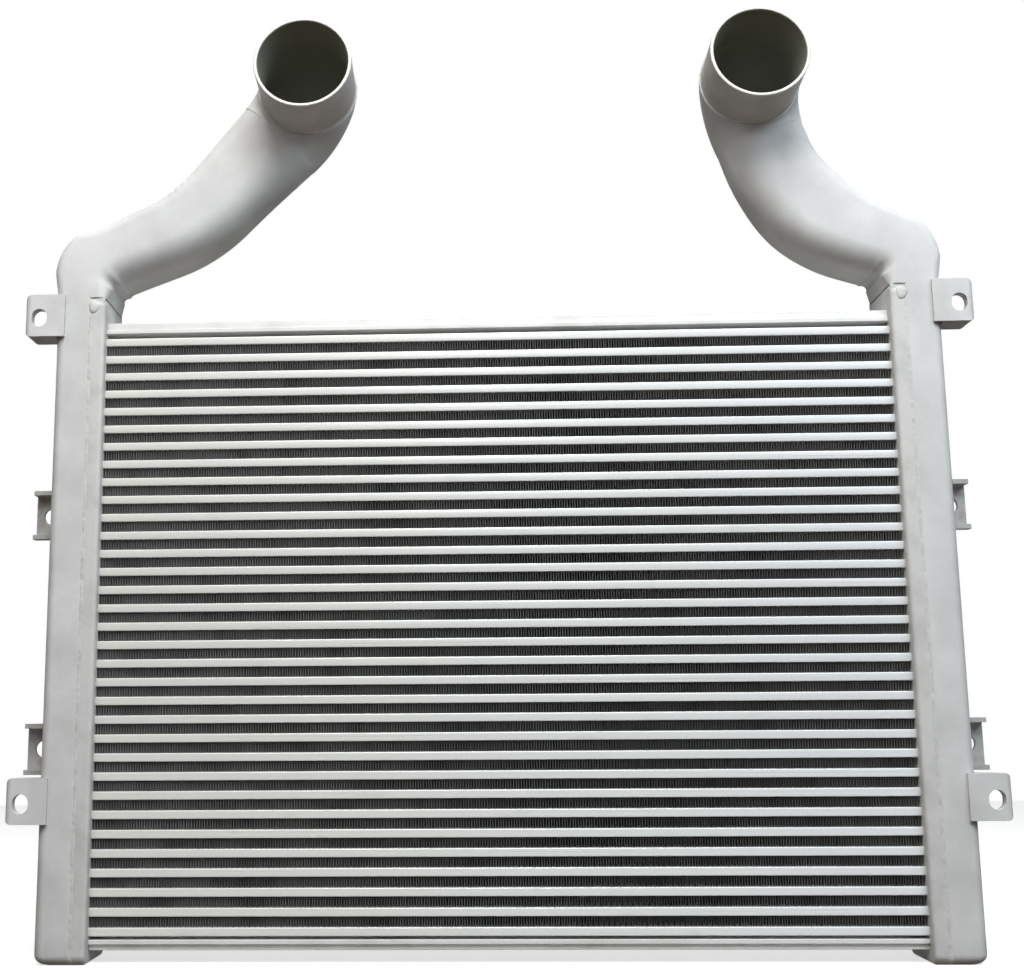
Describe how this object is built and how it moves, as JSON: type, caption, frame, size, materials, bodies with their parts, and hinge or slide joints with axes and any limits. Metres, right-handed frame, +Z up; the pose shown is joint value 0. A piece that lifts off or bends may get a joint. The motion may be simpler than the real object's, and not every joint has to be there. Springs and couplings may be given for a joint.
{
  "type": "intercooler",
  "caption": "Charge air cooler with a tube and fin core between two cast end tanks, whose ducts bend inwards and forwards to round hose spigots.",
  "frame": {"origin": "under the middle of the whole, level with the feet of the two end tanks", "axes": "+X across the core to the right, seen from the front; +Y through the core to the rear, away from the spigots' mouths; +Z up along the end tanks"},
  "size_m": [0.979, 0.141, 0.9527],
  "materials": {
    "tube_sheet": "satin, brazed",
    "fin_sheet": "dull, in the shade of the core",
    "header_plate": "satin plate",
    "cast_tank": "fine matt as-cast skin",
    "spigot_tube": "satin tube with bright rim",
    "weld_bead": "rippled weld bead",
    "bracket_plate": "dull plate",
    "side_plate": "satin plate"
  },
  "bodies": {
    "root": {"tube_01": "tube_sheet", "tube_02": "tube_sheet", "tube_03": "tube_sheet", "tube_04": "tube_sheet", "tube_05": "tube_sheet", "tube_06": "tube_sheet", "tube_07": "tube_sheet", "tube_08": "tube_sheet", "tube_09": "tube_sheet", "tube_10": "tube_sheet", "tube_11": "tube_sheet", "tube_12": "tube_sheet", "tube_13": "tube_sheet", "tube_14": "tube_sheet", "tube_15": "tube_sheet", "tube_16": "tube_sheet", "tube_17": "tube_sheet", "tube_18": "tube_sheet", "tube_19": "tube_sheet", "tube_20": "tube_sheet", "tube_21": "tube_sheet", "tube_22": "tube_sheet", "tube_23": "tube_sheet", "tube_24": "tube_sheet", "tube_25": "tube_sheet", "tube_26": "tube_sheet", "tube_27": "tube_sheet", "tube_28": "tube_sheet", "tube_29": "tube_sheet", "tube_30": "tube_sheet", "tube_31": "tube_sheet", "tube_32": "tube_sheet", "tube_33": "tube_sheet", "turbulators": "tube_sheet", "air_fins": "fin_sheet", "header_left": "header_plate", "tank_left": "cast_tank", "spigot_left": "spigot_tube", "spigot_weld_left": "weld_bead", "tank_weld_left": "weld_bead", "upper_ear_left": "cast_tank", "upper_bracket_left": "bracket_plate", "lower_ear_left": "cast_tank", "lower_bracket_left": "bracket_plate", "header_right": "header_plate", "tank_right": "cast_tank", "spigot_right": "spigot_tube", "spigot_weld_right": "weld_bead", "tank_weld_right": "weld_bead", "upper_ear_right": "cast_tank", "upper_bracket_right": "bracket_plate", "lower_ear_right": "cast_tank", "lower_bracket_right": "bracket_plate", "top_plate": "side_plate", "bottom_plate": "side_plate"}
  },
  "joints": []
}
